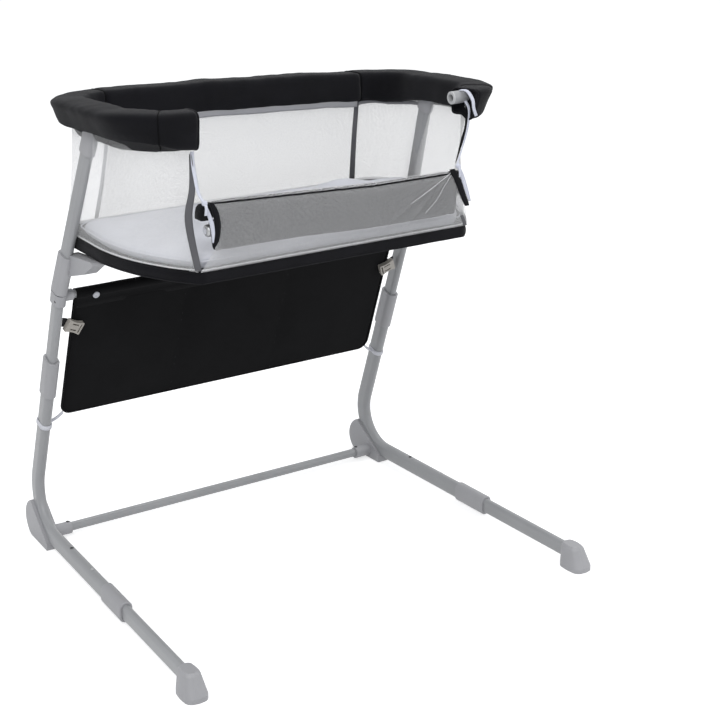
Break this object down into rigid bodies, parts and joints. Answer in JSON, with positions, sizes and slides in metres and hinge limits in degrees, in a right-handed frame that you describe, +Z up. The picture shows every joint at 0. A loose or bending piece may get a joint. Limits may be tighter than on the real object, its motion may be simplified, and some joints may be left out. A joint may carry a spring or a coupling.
{
  "type": "bedside sleeper crib",
  "caption": "Bedside crib: mesh-sided bassinet with padded rim and drop-down front rail on two leaning telescopic L-shaped legs, storage bag between the legs",
  "frame": {"origin": "centre of the bounding box on the floor", "axes": "+X along the bassinet to its right end seen from the adult bed, -Y towards the adult bed, +Z up"},
  "size_m": [0.9032, 0.7509, 0.9327],
  "materials": {
    "grey_steel": "satin grey powder coat",
    "grey_plastic": "fine moulded texture",
    "socket_plastic": "satin",
    "plug_metal": "satin",
    "spring_steel": "plain strip",
    "black_fabric": "woven polyester, padded where it covers tubes",
    "mesh": "fine open net",
    "mattress_fabric": "soft knit",
    "board": "plain board",
    "elastic": "woven elastic",
    "buckle_plastic": "satin moulded"
  },
  "bodies": {
    "base": {"leg_tube_left": "grey_steel", "leg_tube_right": "grey_steel", "rear_foot_left": "grey_plastic", "rear_foot_right": "grey_plastic", "foot_bush_left": "grey_plastic", "foot_bush_right": "grey_plastic", "height_bush_left": "grey_plastic", "height_bush_right": "grey_plastic", "lower_crossbar": "grey_steel"},
    "carriage": {"riser_left": "grey_steel", "riser_right": "grey_steel", "crossbar_fitting_left": "grey_plastic", "crossbar_fitting_right": "grey_plastic", "upper_crossbar": "grey_steel", "arm_sleeve_left": "grey_plastic", "arm_sleeve_right": "grey_plastic", "arm_tube_left": "grey_steel", "arm_tube_right": "grey_steel", "rim_joint_left": "grey_plastic", "rim_joint_right": "grey_plastic", "rim_tube": "grey_steel", "rim_socket_left": "socket_plastic", "rim_socket_right": "socket_plastic", "cover_rear": "black_fabric", "cover_left": "black_fabric", "cover_right": "black_fabric", "floor_frame": "grey_steel", "floor_board": "board", "floor_band": "black_fabric", "mesh_rear": "mesh", "mesh_left": "mesh", "mesh_right": "mesh", "storage_bag": "black_fabric", "front_panel": "mesh", "leg_tie_left": "elastic", "leg_tie_right": "elastic", "strap_left": "black_fabric", "strap_right": "black_fabric", "buckle_left": "buckle_plastic", "buckle_right": "buckle_plastic", "height_spring_left": "spring_steel", "height_spring_right": "spring_steel"},
    "rail": {"rail_tube": "grey_steel", "rail_cover": "black_fabric", "rail_plug_left": "plug_metal", "rail_plug_right": "plug_metal"},
    "mattress_body": {"mattress": "mattress_fabric"},
    "foot_left": {"foot_tube_left": "grey_steel", "foot_cap_left": "grey_plastic", "foot_spring_left": "spring_steel"},
    "foot_lock_left": {"foot_button_left": "socket_plastic"},
    "height_lock_left": {"height_button_left": "socket_plastic"},
    "rail_lock_left": {"rail_button_left": "plug_metal"},
    "foot_right": {"foot_tube_right": "grey_steel", "foot_cap_right": "grey_plastic", "foot_spring_right": "spring_steel"},
    "foot_lock_right": {"foot_button_right": "socket_plastic"},
    "height_lock_right": {"height_button_right": "socket_plastic"},
    "rail_lock_right": {"rail_button_right": "plug_metal"}
  },
  "joints": [
    {"name": "height_slide", "type": "slide", "parent": "base", "child": "carriage", "axis": [0, -0.299, 0.9542], "range_m": [-0.105, 0], "deforming": ["height_button_left", "height_button_right"]},
    {"name": "foot_slide_left", "type": "slide", "parent": "base", "child": "foot_left", "axis": [0.0454, 0.999, 0], "range_m": [0, 0.1], "deforming": ["foot_button_left"]},
    {"name": "foot_lock_press_left", "type": "slide", "parent": "foot_left", "child": "foot_lock_left", "axis": [0, 0, -1], "range_m": [0, 0.004], "stiffness_N_per_m": 400, "springref_m": -0.003, "deforming": ["foot_spring_left"]},
    {"name": "height_lock_press_left", "type": "slide", "parent": "carriage", "child": "height_lock_left", "axis": [0, -0.9542, -0.299], "range_m": [0, 0.004], "stiffness_N_per_m": 400, "springref_m": -0.003, "deforming": ["height_spring_left"]},
    {"name": "rail_lock_press_left", "type": "slide", "parent": "rail", "child": "rail_lock_left", "axis": [0, 0, -1], "range_m": [0, 0.003], "stiffness_N_per_m": 400, "springref_m": -0.003},
    {"name": "foot_slide_right", "type": "slide", "parent": "base", "child": "foot_right", "axis": [-0.0454, 0.999, 0], "range_m": [0, 0.1], "deforming": ["foot_button_right"]},
    {"name": "foot_lock_press_right", "type": "slide", "parent": "foot_right", "child": "foot_lock_right", "axis": [0, 0, -1], "range_m": [0, 0.004], "stiffness_N_per_m": 400, "springref_m": -0.003, "deforming": ["foot_spring_right"]},
    {"name": "height_lock_press_right", "type": "slide", "parent": "carriage", "child": "height_lock_right", "axis": [0, -0.9542, -0.299], "range_m": [0, 0.004], "stiffness_N_per_m": 400, "springref_m": -0.003, "deforming": ["height_spring_right"]},
    {"name": "rail_lock_press_right", "type": "slide", "parent": "rail", "child": "rail_lock_right", "axis": [0, 0, -1], "range_m": [0, 0.003], "stiffness_N_per_m": 400, "springref_m": -0.003},
    {"name": "rail_drop", "type": "slide", "parent": "carriage", "child": "rail", "axis": [0, 0.2521, 0.9677], "range_m": [0, 0.1704], "deforming": ["front_panel"]},
    {"name": "mattress_lift", "type": "slide", "parent": "carriage", "child": "mattress_body", "axis": [0, 0, 1], "range_m": [0, 0.05]}
  ]
}
